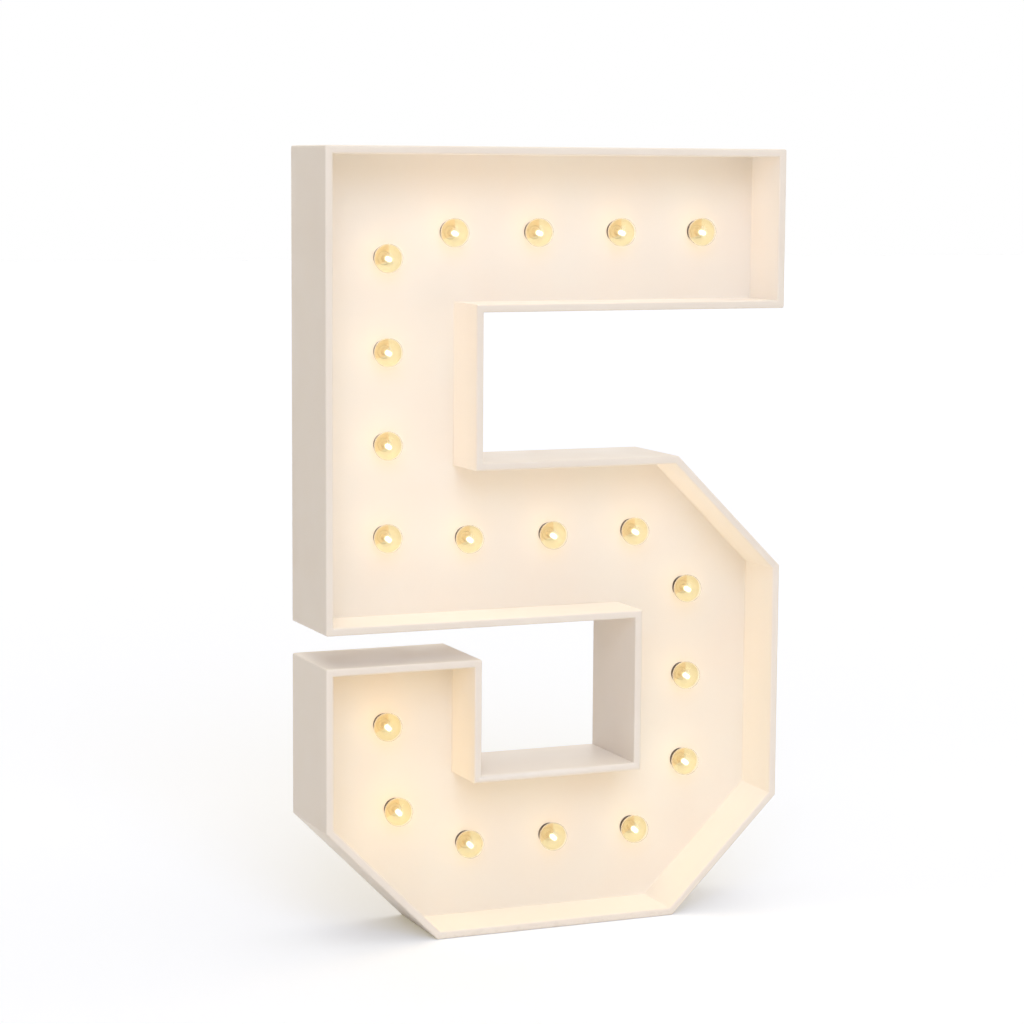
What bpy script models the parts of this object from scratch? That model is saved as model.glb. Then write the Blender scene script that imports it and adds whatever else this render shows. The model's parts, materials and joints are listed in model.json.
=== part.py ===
"""Free-standing light-up marquee number five: a boarded case, its panels, nineteen bulbs and their wiring.

Metres, +Z up. The front of the number faces -Y. The origin is on the floor, under the middle of the case.
Sizes are drawn from the case's left edge, its front rim and the floor, and placed() moves them to that origin.
"""

import math

import bmesh
import bpy
from mathutils import Matrix, Vector

# The numeral's outline
HEIGHT = 1.220
WIDTH = 0.768
STROKE = 0.254
TOP_ARM_STROKE = 0.250
BOWL_TOP = 0.740
CHAMFER = 0.182
SLOT_GAP = 0.050
MIDDLE_UNDERSIDE = BOWL_TOP - STROKE
LOWER_ARM_TOP = MIDDLE_UNDERSIDE - SLOT_GAP

# The case's boards and panels
DEPTH = 0.160
BOARD = 0.012
RIM_ROUND = 0.0025
CORNER_ROUND = 0.0035
FACE_THICKNESS = 0.009
COVER_THICKNESS = 0.006
COVER_RECESS = 0.008

# Clearance between pieces that touch, and how far a cutter overruns what it cuts
TOUCH_GAP = 0.0003
OVERRUN = 0.002

# Rows of bulbs: how far each row's ends stand from the corners that they follow
TOP_ROW_DROP = 0.0065
TOP_ROW_OVERLAP = 0.0185
TOP_ROW_END_MARGIN = 0.1095
STEM_ROW_TOP_MARGIN = 0.170
STEM_ROW_RISE = 0.007
MIDDLE_ROW_LEFT_MARGIN = 0.0085
MIDDLE_ROW_RIGHT_MARGIN = 0.039
BOWL_ROW_TOP_MARGIN = 0.042
BOWL_ROW_BOTTOM_MARGIN = 0.050
BASE_ROW_RIGHT_MARGIN = 0.034
BASE_ROW_LEFT_MARGIN = 0.083
CORNER_BULB_INSET = 0.037
CORNER_BULB_RISE = 0.007
LOWER_BULB_SHARE = 0.55

# A golf-ball bulb on its screw cap
GLOBE_RADIUS = 0.0225
CAP_RADIUS = 0.0130
CAP_LENGTH = 0.0225
CONTACT_RADIUS = 0.0050
CONTACT_LENGTH = 0.0060
BULB_REAR = CAP_LENGTH + CONTACT_LENGTH

# The lampholder that takes the cap, and how far the globe's middle stands in front of the face
HOLDER_WALL = 0.0032
HOLDER_PROUD = 0.0015
HOLDER_SHOULDER = 0.0030
HOLDER_BASE = 0.0055
HOLDER_BORE_RADIUS = CAP_RADIUS + TOUCH_GAP
HOLDER_RADIUS = HOLDER_BORE_RADIUS + HOLDER_WALL
HOLDER_FLOOR = BULB_REAR + TOUCH_GAP
HOLDER_BACK = HOLDER_FLOOR + HOLDER_BASE
GLOBE_STANDOFF = math.sqrt(GLOBE_RADIUS ** 2 - CAP_RADIUS ** 2) + HOLDER_PROUD + TOUCH_GAP

# Wiring behind the face panel, which leaves the rest of the depth to the recess in front
CABLE_RADIUS = 0.0030
WIRING_ROOM = 0.0104
CABLE_BACK = HOLDER_BACK + TOUCH_GAP + 2 * CABLE_RADIUS
FACE_SETBACK = DEPTH - COVER_RECESS - COVER_THICKNESS - WIRING_ROOM - CABLE_BACK

# The rocker of the switch, drawn about its own pivot, and its pocket
ROCKER_REACH = 0.0105
ROCKER_WIDTH = 0.0134
ROCKER_PROUD = 0.0010
ROCKER_HORN = 0.0016
ROCKER_BELLY = 0.0040
ROCKER_PIVOT_DEPTH = 0.0030
ROCKER_BELLY_ROOM = 0.0025
TRUNNION_RADIUS = 0.0012
TRUNNION_LENGTH = 0.0009
ROCKER_TILT = math.radians(10)
ROCKER_SADDLE = ROCKER_PIVOT_DEPTH + ROCKER_PROUD
ROCKER_POCKET_HEIGHT = 2 * (ROCKER_REACH + TOUCH_GAP)
ROCKER_POCKET_DEPTH = ROCKER_PIVOT_DEPTH + ROCKER_BELLY + ROCKER_BELLY_ROOM

# The socket of the mains inlet and its pins
SOCKET_WIDTH = 0.0240
SOCKET_HEIGHT = 0.0165
SOCKET_DEPTH = 0.0160
SOCKET_CHAMFER = 0.0040
PIN_WIDTH = 0.0020
PIN_HEIGHT = 0.0040
PIN_LENGTH = 0.0110
PIN_SPREAD = 0.0070
PIN_STAGGER = 0.0020

# The inlet's housing round its socket, below, and the rocker's pocket, above
INLET_SIDE_WALL = 0.0017
INLET_END_WALL = 0.0034
INLET_WEB = 0.0039
INLET_FLANGE_LIP = 0.0030
INLET_FLANGE_THICKNESS = 0.0025
INLET_BODY_DEPTH = 0.0280
INLET_BODY_WIDTH = SOCKET_WIDTH + 2 * INLET_SIDE_WALL
INLET_BODY_HEIGHT = 2 * INLET_END_WALL + SOCKET_HEIGHT + INLET_WEB + ROCKER_POCKET_HEIGHT
SOCKET_DROP = INLET_BODY_HEIGHT / 2 - INLET_END_WALL - SOCKET_HEIGHT / 2
ROCKER_RISE = INLET_BODY_HEIGHT / 2 - INLET_END_WALL - ROCKER_POCKET_HEIGHT / 2

# Counts and the distance under which two points are one
ROUND_STEPS = 16
GLOBE_RINGS = 7
TRUNNION_STEPS = 12
ROCKER_ARC_STEPS = 4
RIM_ROUND_STEPS = 3
CORNER_ROUND_STEPS = 2
CABLE_BEVEL_STEPS = 2
WELD = 0.000001

# Colour, roughness and metallic value of each finish
FINISHES = {
    "white_paint": ((0.86, 0.82, 0.77), 0.45, 0.0),
    "face_paint": ((0.90, 0.85, 0.78), 0.50, 0.0),
    "bulb_glass": ((1.00, 0.84, 0.52), 0.10, 0.0),
    "holder_plastic": ((0.12, 0.09, 0.07), 0.40, 0.0),
    "cover_paint": ((0.84, 0.80, 0.75), 0.60, 0.0),
    "cable_rubber": ((0.03, 0.03, 0.03), 0.55, 0.0),
    "inlet_plastic": ((0.02, 0.02, 0.02), 0.35, 0.0),
    "rocker_plastic": ((0.05, 0.05, 0.05), 0.25, 0.0),
}


def placed(x, y, z):
    """A point of the drawing in the part's own frame."""
    return Vector((x - WIDTH / 2, y - DEPTH / 2, z))


def finish(name):
    """The Principled material of a finish, made once."""
    if name in bpy.data.materials:
        return bpy.data.materials[name]
    colour, roughness, metallic = FINISHES[name]
    material = bpy.data.materials.new(name)
    material.use_nodes = True
    shader = material.node_tree.nodes["Principled BSDF"]
    shader.inputs["Base Color"].default_value = (*colour, 1.0)
    shader.inputs["Roughness"].default_value = roughness
    shader.inputs["Metallic"].default_value = metallic
    return material


def add_object(name, shape, finish_name, location=None):
    """Links an object with a shape, its finish and its place."""
    piece = bpy.data.objects.new(name, shape)
    bpy.context.scene.collection.objects.link(piece)
    if finish_name:
        shape.materials.append(finish(finish_name))
    if location is not None:
        piece.location = location
    return piece


def mesh_from(name, shape):
    """Turns a bmesh into a mesh with its faces outwards."""
    bmesh.ops.recalc_face_normals(shape, faces=shape.faces)
    mesh = bpy.data.meshes.new(name)
    shape.to_mesh(mesh)
    shape.free()
    return mesh


def cut(piece, cutters):
    """Takes each cutter's shape out of a piece, with live exact Booleans."""
    for cutter in cutters:
        cutter.hide_render = True
        cutter.display_type = "WIRE"
        modifier = piece.modifiers.new("cut_" + cutter.name, "BOOLEAN")
        modifier.operation = "DIFFERENCE"
        modifier.solver = "EXACT"
        modifier.object = cutter


def join_shapes(piece, additions):
    """Adds each guide's shape to a piece, with live exact Booleans."""
    for addition in additions:
        addition.hide_render = True
        addition.display_type = "WIRE"
        modifier = piece.modifiers.new("join_" + addition.name, "BOOLEAN")
        modifier.operation = "UNION"
        modifier.solver = "EXACT"
        modifier.object = addition


# The outline and what follows it

def outline():
    """Each board's name with the corner it starts from, clockwise seen from the front."""
    return (
        ("wall_top", Vector((0, HEIGHT))),
        ("wall_top_arm_end", Vector((WIDTH, HEIGHT))),
        ("wall_top_arm_underside", Vector((WIDTH, HEIGHT - TOP_ARM_STROKE))),
        ("wall_stem_inner", Vector((STROKE, HEIGHT - TOP_ARM_STROKE))),
        ("wall_bowl_top", Vector((STROKE, BOWL_TOP))),
        ("wall_bowl_upper_chamfer", Vector((WIDTH - CHAMFER, BOWL_TOP))),
        ("wall_bowl_side", Vector((WIDTH, BOWL_TOP - CHAMFER))),
        ("wall_bowl_lower_chamfer", Vector((WIDTH, CHAMFER))),
        ("wall_base", Vector((WIDTH - CHAMFER, 0))),
        ("wall_base_chamfer", Vector((CHAMFER, 0))),
        ("wall_lower_arm_end", Vector((0, CHAMFER))),
        ("wall_lower_arm_top", Vector((0, LOWER_ARM_TOP))),
        ("wall_lower_arm_inner", Vector((STROKE, LOWER_ARM_TOP))),
        ("wall_counter_floor", Vector((STROKE, STROKE))),
        ("wall_counter_side", Vector((WIDTH - STROKE, STROKE))),
        ("wall_middle_underside", Vector((WIDTH - STROKE, MIDDLE_UNDERSIDE))),
        ("wall_stem_outer", Vector((0, MIDDLE_UNDERSIDE))),
    )


def meet(point_a, along_a, point_b, along_b):
    """Where two lines of the drawing cross."""
    across = along_a.x * along_b.y - along_a.y * along_b.x
    step = point_b - point_a
    return point_a + along_a * ((step.x * along_b.y - step.y * along_b.x) / across)


def inward(along):
    """The direction into the numeral from an edge that runs clockwise."""
    return Vector((along.y, -along.x))


def inset_corners(distance):
    """The outline's corners moved inwards by a distance from every edge."""
    corners = [corner for _, corner in outline()]
    inset = []
    for index, corner in enumerate(corners):
        arriving = (corner - corners[index - 1]).normalized()
        leaving = (corners[(index + 1) % len(corners)] - corner).normalized()
        start = corner + inward(arriving) * distance
        end = corner + inward(leaving) * distance
        inset.append(meet(start, arriving, end, leaving))
    return inset


def outer_points(corner, mitre, away, leaving, outward):
    """A board's outer points from its mitre to its straight edge, rounded where the case's corner stands out."""
    if mitre.dot(leaving) < 0:
        return [meet(corner, leaving, corner + away * (TOUCH_GAP / 2), mitre)]
    half_turn = math.asin(mitre.dot(leaving))
    centre = corner + mitre * (CORNER_ROUND / math.cos(half_turn))
    points = []
    for step in range(CORNER_ROUND_STEPS + 1):
        angle = half_turn * (1 - step / CORNER_ROUND_STEPS)
        points.append(centre + (outward * math.cos(angle) - leaving * math.sin(angle)) * CORNER_ROUND)
    points[0] += away * (TOUCH_GAP / 2)
    return points


def board_profile(index, corners, inner_corners):
    """One board's face, mitred to its neighbours with the touching gap between them: its outer and inner points."""
    start = corners[index]
    end = corners[(index + 1) % len(corners)]
    along = (end - start).normalized()
    inner_start = start + inward(along) * BOARD
    outer = []
    inner = []
    for corner, inner_corner, leaving in (
        (start, inner_corners[index], along),
        (end, inner_corners[(index + 1) % len(corners)], -along),
    ):
        mitre = (inner_corner - corner).normalized()
        away = inward(mitre)
        if away.dot(leaving) < 0:
            away = -away
        outer.append(outer_points(corner, mitre, away, leaving, -inward(along)))
        inner.append(meet(inner_start, along, corner + away * (TOUCH_GAP / 2), mitre))
    return outer[0] + outer[1][::-1], inner[::-1]


def plate(profile, front, thickness):
    """A bmesh plate with a drawn profile, from its front face back through its thickness."""
    shape = bmesh.new()
    face = shape.faces.new([shape.verts.new(placed(point.x, front, point.y)) for point in profile])
    made = bmesh.ops.extrude_face_region(shape, geom=[face])
    moved = [item for item in made["geom"] if isinstance(item, bmesh.types.BMVert)]
    bmesh.ops.translate(shape, verts=moved, vec=Vector((0, thickness, 0)))
    return shape


def case_boards():
    """The boards of the case, each its own piece, with the outer and inner edges of its rim rounded."""
    names = [name for name, _ in outline()]
    corners = [corner for _, corner in outline()]
    inner_corners = inset_corners(BOARD)
    for index, name in enumerate(names):
        outer, inner = board_profile(index, corners, inner_corners)
        shape = plate(outer + inner, 0, DEPTH)
        shape.verts.ensure_lookup_table()
        outer_rim = shape.verts[:len(outer)]
        inner_rim = shape.verts[len(outer):len(outer) + len(inner)]
        pairs = [*zip(outer_rim, outer_rim[1:]), *zip(inner_rim, inner_rim[1:])]
        bmesh.ops.bevel(
            shape,
            geom=[shape.edges.get(pair) for pair in pairs],
            offset=RIM_ROUND,
            segments=RIM_ROUND_STEPS,
            profile=0.5,
            affect="EDGES",
        )
        add_object(name, mesh_from(name, shape), "white_paint")


# Bulbs, lampholders and the panel that they stand in

def row(first, last, count):
    """Points spread evenly from the first place to the last."""
    return [first.lerp(last, step / (count - 1)) for step in range(count)]


def bulb_rows():
    """The bulbs' places on the face, row by row in wiring order from the end of the top arm to the lower arm."""
    top_centre = HEIGHT - TOP_ARM_STROKE / 2 - TOP_ROW_DROP
    stem_centre = STROKE / 2
    middle_centre = BOWL_TOP - STROKE / 2
    bowl_centre = WIDTH - STROKE / 2
    base_centre = STROKE / 2
    corner_height = CHAMFER + CORNER_BULB_RISE
    return {
        "top": row(
            Vector((WIDTH - TOP_ROW_END_MARGIN, top_centre)),
            Vector((STROKE - TOP_ROW_OVERLAP, top_centre)),
            4,
        ),
        "stem": row(
            Vector((stem_centre, HEIGHT - STEM_ROW_TOP_MARGIN)),
            Vector((stem_centre, middle_centre + STEM_ROW_RISE)),
            4,
        ),
        "middle": row(
            Vector((STROKE + MIDDLE_ROW_LEFT_MARGIN, middle_centre)),
            Vector((WIDTH - CHAMFER - MIDDLE_ROW_RIGHT_MARGIN, middle_centre)),
            3,
        ),
        "bowl": row(
            Vector((bowl_centre, BOWL_TOP - CHAMFER - BOWL_ROW_TOP_MARGIN)),
            Vector((bowl_centre, CHAMFER + BOWL_ROW_BOTTOM_MARGIN)),
            3,
        ),
        "base": row(
            Vector((WIDTH - CHAMFER - BASE_ROW_RIGHT_MARGIN, base_centre)),
            Vector((CHAMFER + BASE_ROW_LEFT_MARGIN, base_centre)),
            3,
        ),
        "lower_arm": [
            Vector((CHAMFER - CORNER_BULB_INSET, corner_height)),
            Vector((stem_centre, corner_height + (LOWER_ARM_TOP - corner_height) * LOWER_BULB_SHARE)),
        ],
    }


def bulb_places():
    """Every bulb's place, in wiring order."""
    return [place for places in bulb_rows().values() for place in places]


def turned(name, profile):
    """A mesh turned about the Y axis from a profile of radius and distance along that axis."""
    shape = bmesh.new()
    points = [shape.verts.new((radius, along, 0)) for radius, along in profile]
    edges = [shape.edges.new(pair) for pair in zip(points, points[1:])]
    bmesh.ops.spin(
        shape,
        geom=points + edges,
        cent=(0, 0, 0),
        axis=(0, 1, 0),
        angle=math.tau,
        steps=ROUND_STEPS,
        use_merge=True,
    )
    bmesh.ops.remove_doubles(shape, verts=shape.verts, dist=WELD)
    mesh = mesh_from(name, shape)
    mesh.shade_smooth()
    mesh.set_sharp_from_angle(angle=math.radians(35))
    return mesh


def bulb_profile():
    """Screw cap, neck and globe, from the rear contact to the tip, measured from the face panel's front."""
    neck_angle = math.asin(CAP_RADIUS / GLOBE_RADIUS)
    profile = [(0, BULB_REAR), (CONTACT_RADIUS, BULB_REAR), (CAP_RADIUS, CAP_LENGTH)]
    for ring in range(GLOBE_RINGS):
        angle = neck_angle + (math.pi - neck_angle) * ring / GLOBE_RINGS
        profile.append((GLOBE_RADIUS * math.sin(angle), GLOBE_RADIUS * math.cos(angle) - GLOBE_STANDOFF))
    profile.append((0, -GLOBE_RADIUS - GLOBE_STANDOFF))
    return profile


def holder_profile():
    """Lampholder with its bore, from the bore's floor round the rim to its back."""
    shoulder_radius = HOLDER_RADIUS + HOLDER_SHOULDER
    shoulder_front = FACE_THICKNESS + TOUCH_GAP
    return [
        (0, HOLDER_FLOOR),
        (HOLDER_BORE_RADIUS, HOLDER_FLOOR),
        (HOLDER_BORE_RADIUS, -HOLDER_PROUD),
        (HOLDER_RADIUS, -HOLDER_PROUD),
        (HOLDER_RADIUS, shoulder_front),
        (shoulder_radius, shoulder_front),
        (shoulder_radius, HOLDER_FLOOR),
        (HOLDER_RADIUS, HOLDER_BACK),
        (0, HOLDER_BACK),
    ]


def bulbs_and_holders():
    """A bulb and a lampholder at each place, numbered in wiring order."""
    bulb_mesh = turned("bulb", bulb_profile())
    holder_mesh = turned("lampholder", holder_profile())
    bulb_mesh.materials.append(finish("bulb_glass"))
    holder_mesh.materials.append(finish("holder_plastic"))
    for number, place in enumerate(bulb_places(), 1):
        seat = placed(place.x, FACE_SETBACK, place.y)
        add_object(f"bulb_{number:02d}", bulb_mesh, None, seat)
        add_object(f"lampholder_{number:02d}", holder_mesh, None, seat)


def hole_cutter():
    """One cutter with a drum at each lampholder's place, through the face panel."""
    shape = bmesh.new()
    length = FACE_THICKNESS + 2 * OVERRUN
    for place in bulb_places():
        centre = placed(place.x, FACE_SETBACK + FACE_THICKNESS / 2, place.y)
        bmesh.ops.create_cone(
            shape,
            cap_ends=True,
            segments=ROUND_STEPS,
            radius1=HOLDER_RADIUS + TOUCH_GAP,
            radius2=HOLDER_RADIUS + TOUCH_GAP,
            depth=length,
            matrix=Matrix.Translation(centre) @ Matrix.Rotation(math.radians(90), 4, "X"),
        )
    return add_object("holder_holes", mesh_from("holder_holes", shape), None)


def face_panel():
    """The lit face, let into the case between its boards, with a hole for each lampholder."""
    shape = plate(inset_corners(BOARD + TOUCH_GAP), FACE_SETBACK, FACE_THICKNESS)
    panel = add_object("face_panel", mesh_from("face_panel", shape), "face_paint")
    cut(panel, [hole_cutter()])


# The switched inlet and the rear cover

def box(name, centre, size):
    """A bmesh box about a centre, as an object without a finish."""
    shape = bmesh.new()
    scale = Matrix.Diagonal((*size, 1))
    bmesh.ops.create_cube(shape, size=1, matrix=Matrix.Translation(centre) @ scale)
    return add_object(name, mesh_from(name, shape), None)


def inlet_place():
    """Where the inlet stands on the drawing: between the base row's first two bulbs."""
    base_right, base_middle, _ = bulb_rows()["base"]
    return base_right.lerp(base_middle, 0.5)


def inlet_face():
    """Distance of the inlet's outer face behind the front rim."""
    return DEPTH - COVER_RECESS + TOUCH_GAP + INLET_FLANGE_THICKNESS


def rocker_pivot():
    """The rocker's pivot, on the middle of its pocket."""
    place = inlet_place()
    return placed(place.x, inlet_face() - ROCKER_PIVOT_DEPTH, place.y + ROCKER_RISE)


def socket_cutter():
    """The recess that takes the mains connector, with its two upper corners cut off."""
    place = inlet_place()
    half = SOCKET_WIDTH / 2
    bottom = place.y - SOCKET_DROP - SOCKET_HEIGHT / 2
    top = bottom + SOCKET_HEIGHT
    profile = [
        Vector((place.x - half, bottom)),
        Vector((place.x + half, bottom)),
        Vector((place.x + half, top - SOCKET_CHAMFER)),
        Vector((place.x + half - SOCKET_CHAMFER, top)),
        Vector((place.x - half + SOCKET_CHAMFER, top)),
        Vector((place.x - half, top - SOCKET_CHAMFER)),
    ]
    shape = plate(profile, inlet_face() - SOCKET_DEPTH, SOCKET_DEPTH + OVERRUN)
    return add_object("socket_recess", mesh_from("socket_recess", shape), None)


def socket_pins():
    """Three flat pins that stand on the recess's floor."""
    place = inlet_place()
    root = inlet_face() - SOCKET_DEPTH - OVERRUN
    length = PIN_LENGTH + OVERRUN
    pins = []
    for name, across, up in (
        ("pin_left", -PIN_SPREAD, -PIN_STAGGER),
        ("pin_middle", 0, PIN_STAGGER),
        ("pin_right", PIN_SPREAD, -PIN_STAGGER),
    ):
        centre = placed(place.x + across, root + length / 2, place.y - SOCKET_DROP + up)
        pins.append(box(name, centre, (PIN_WIDTH, length, PIN_HEIGHT)))
    return pins


def trunnion(name, radius, length):
    """A drum on the rocker's pivot, across the pocket."""
    shape = bmesh.new()
    bmesh.ops.create_cone(
        shape,
        cap_ends=True,
        segments=TRUNNION_STEPS,
        radius1=radius,
        radius2=radius,
        depth=length,
        matrix=Matrix.Translation(rocker_pivot()) @ Matrix.Rotation(math.radians(90), 4, "Y"),
    )
    return add_object(name, mesh_from(name, shape), None)


def mains_inlet():
    """Inlet housing: flange on the cover, body through it, socket recess with pins and rocker pocket."""
    place = inlet_place()
    face = inlet_face()
    behind = face - INLET_FLANGE_THICKNESS
    body = box(
        "mains_inlet",
        placed(place.x, behind - (INLET_BODY_DEPTH - INLET_FLANGE_THICKNESS / 2) / 2, place.y),
        (INLET_BODY_WIDTH, INLET_BODY_DEPTH + INLET_FLANGE_THICKNESS / 2, INLET_BODY_HEIGHT),
    )
    body.data.materials.append(finish("inlet_plastic"))
    flange = box(
        "inlet_flange",
        placed(place.x, face - INLET_FLANGE_THICKNESS / 2, place.y),
        (
            INLET_BODY_WIDTH + 2 * INLET_FLANGE_LIP,
            INLET_FLANGE_THICKNESS,
            INLET_BODY_HEIGHT + 2 * INLET_FLANGE_LIP,
        ),
    )
    pocket = box(
        "rocker_pocket",
        placed(place.x, face - (ROCKER_POCKET_DEPTH - OVERRUN) / 2, place.y + ROCKER_RISE),
        (
            ROCKER_WIDTH + 2 * TOUCH_GAP,
            ROCKER_POCKET_DEPTH + OVERRUN,
            ROCKER_POCKET_HEIGHT,
        ),
    )
    bearing = trunnion(
        "trunnion_bearing",
        TRUNNION_RADIUS + TOUCH_GAP,
        ROCKER_WIDTH + 2 * (TRUNNION_LENGTH + TOUCH_GAP),
    )
    join_shapes(body, [flange])
    cut(body, [socket_cutter(), pocket, bearing])
    join_shapes(body, socket_pins())


def rocker_profile():
    """The rocker's side view about its pivot: two facets that meet in a saddle, round ends and a flat belly."""
    horn_height = ROCKER_SADDLE + ROCKER_HORN
    horn_angle = math.asin(horn_height / ROCKER_REACH)
    belly_angle = math.asin(ROCKER_BELLY / ROCKER_REACH)
    profile = [(ROCKER_SADDLE, 0)]
    for side in (1, -1):
        arc = []
        for step in range(ROCKER_ARC_STEPS + 1):
            angle = horn_angle - (horn_angle + belly_angle) * step / ROCKER_ARC_STEPS
            arc.append((ROCKER_REACH * math.sin(angle), side * ROCKER_REACH * math.cos(angle)))
        profile += arc if side == 1 else reversed(arc)
    return profile


def power_rocker():
    """The rocker at rest with its upper half pressed in, on two trunnions."""
    shape = bmesh.new()
    half = ROCKER_WIDTH / 2
    face = shape.faces.new([shape.verts.new((-half, out, up)) for out, up in rocker_profile()])
    made = bmesh.ops.extrude_face_region(shape, geom=[face])
    moved = [item for item in made["geom"] if isinstance(item, bmesh.types.BMVert)]
    bmesh.ops.translate(shape, verts=moved, vec=Vector((ROCKER_WIDTH, 0, 0)))
    rocker = add_object("power_rocker", mesh_from("power_rocker", shape), "rocker_plastic", rocker_pivot())
    rocker.rotation_euler.x = ROCKER_TILT
    axle = trunnion("rocker_axle", TRUNNION_RADIUS, ROCKER_WIDTH + 2 * TRUNNION_LENGTH)
    join_shapes(rocker, [axle])


def rear_cover():
    """The board that closes the back, let in between the walls, with a window for the inlet."""
    front = DEPTH - COVER_RECESS - COVER_THICKNESS
    shape = plate(inset_corners(BOARD + TOUCH_GAP), front, COVER_THICKNESS)
    cover = add_object("rear_cover", mesh_from("rear_cover", shape), "cover_paint")
    place = inlet_place()
    window = box(
        "inlet_window",
        placed(place.x, front + COVER_THICKNESS / 2, place.y),
        (
            INLET_BODY_WIDTH + 2 * TOUCH_GAP,
            COVER_THICKNESS + 2 * OVERRUN,
            INLET_BODY_HEIGHT + 2 * TOUCH_GAP,
        ),
    )
    cut(cover, [window])


def wiring_harness():
    """One cable that passes behind every lampholder and under the inlet's body, where its terminals are."""
    places = bulb_places()
    inlet = inlet_place()
    before_inlet = places.index(bulb_rows()["base"][0]) + 1
    dip_height = inlet.y - INLET_BODY_HEIGHT / 2 - TOUCH_GAP - CABLE_RADIUS
    dip_reach = INLET_BODY_WIDTH / 2 + 2 * CABLE_RADIUS
    dip = [Vector((inlet.x + dip_reach, dip_height)), Vector((inlet.x - dip_reach, dip_height))]
    route = places[:before_inlet] + dip + places[before_inlet:]
    cable_centre = FACE_SETBACK + CABLE_BACK - CABLE_RADIUS
    curve = bpy.data.curves.new("wiring_harness", "CURVE")
    curve.dimensions = "3D"
    curve.bevel_depth = CABLE_RADIUS
    curve.bevel_resolution = CABLE_BEVEL_STEPS
    curve.use_fill_caps = True
    spline = curve.splines.new("POLY")
    spline.points.add(len(route) - 1)
    for point, place in zip(spline.points, route):
        point.co = (*placed(place.x, cable_centre, place.y), 1)
    add_object("wiring_harness", curve, "cable_rubber")


def main():
    """Clears the scene and makes every piece of the number."""
    for old in list(bpy.data.objects):
        bpy.data.objects.remove(old)
    case_boards()
    face_panel()
    bulbs_and_holders()
    wiring_harness()
    rear_cover()
    mains_inlet()
    power_rocker()


main()
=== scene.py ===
"""Looks of a free-standing light-up number: painted case, lit bulbs in their holders, wiring, inlet and studio."""

import json
import logging
import math
from collections.abc import Callable, Iterable
from dataclasses import dataclass
from enum import Enum

import bpy
from mathutils import Matrix, Vector


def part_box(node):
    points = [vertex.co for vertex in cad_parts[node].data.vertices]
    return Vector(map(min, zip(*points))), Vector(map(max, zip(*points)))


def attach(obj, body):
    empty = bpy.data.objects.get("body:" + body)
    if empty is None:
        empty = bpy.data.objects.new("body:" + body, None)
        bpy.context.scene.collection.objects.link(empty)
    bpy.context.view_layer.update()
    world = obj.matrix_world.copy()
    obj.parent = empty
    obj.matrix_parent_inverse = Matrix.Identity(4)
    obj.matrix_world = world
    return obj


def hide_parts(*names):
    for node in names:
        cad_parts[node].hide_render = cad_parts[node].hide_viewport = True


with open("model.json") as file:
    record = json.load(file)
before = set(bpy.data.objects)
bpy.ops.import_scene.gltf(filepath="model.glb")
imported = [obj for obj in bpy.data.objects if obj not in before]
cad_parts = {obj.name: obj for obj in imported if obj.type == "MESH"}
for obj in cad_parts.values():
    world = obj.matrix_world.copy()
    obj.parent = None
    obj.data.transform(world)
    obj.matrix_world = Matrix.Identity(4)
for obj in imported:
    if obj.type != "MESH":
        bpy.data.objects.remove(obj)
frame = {"nodes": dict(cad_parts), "record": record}

LOG = logging.getLogger("light_up_number")
BULB_COUNT = 19
THREAD_PITCH = 0.003629
CLEARANCE = 0.0001
MERGE_DISTANCE = 0.000005
FLAT_ANGLE = math.radians(0.5)
RIGHT_ANGLE = math.radians(90)
FACING, SIDEWAYS = 0.9, 0.1
USUAL_NOISE = (0.3, 0.7)
LINING_PLANE = "lining_plane"
LINING_PLANE_SIDE = 0.05
RAYS_SEEN = ("Is Camera Ray", "Is Glossy Ray", "Is Transmission Ray")
RAYS_OF_LIGHT = ("Is Shadow Ray", "Is Diffuse Ray")

Colour = tuple[float, float, float]
Place = tuple[float, float, float]
Range = tuple[float, float]
Station = tuple[float, float]
Piece = bpy.types.Object
Socket = bpy.types.NodeSocket


class Body(Enum):
    """The bodies that pieces ride on, apart from the bulbs' own."""

    CASE = "case"
    ROCKER = "power_rocker"


class Slot(Enum):
    """The record's material slots."""

    CASE_PAINT = "case_paint"
    FACE_PAINT = "face_paint"
    COVER_PAINT = "cover_paint"
    BULB_GLASS = "bulb_glass"
    HOLDER_PLASTIC = "holder_plastic"
    CABLE_RUBBER = "cable_rubber"
    INLET_PLASTIC = "inlet_plastic"
    ROCKER_PLASTIC = "rocker_plastic"


# Finishes

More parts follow.
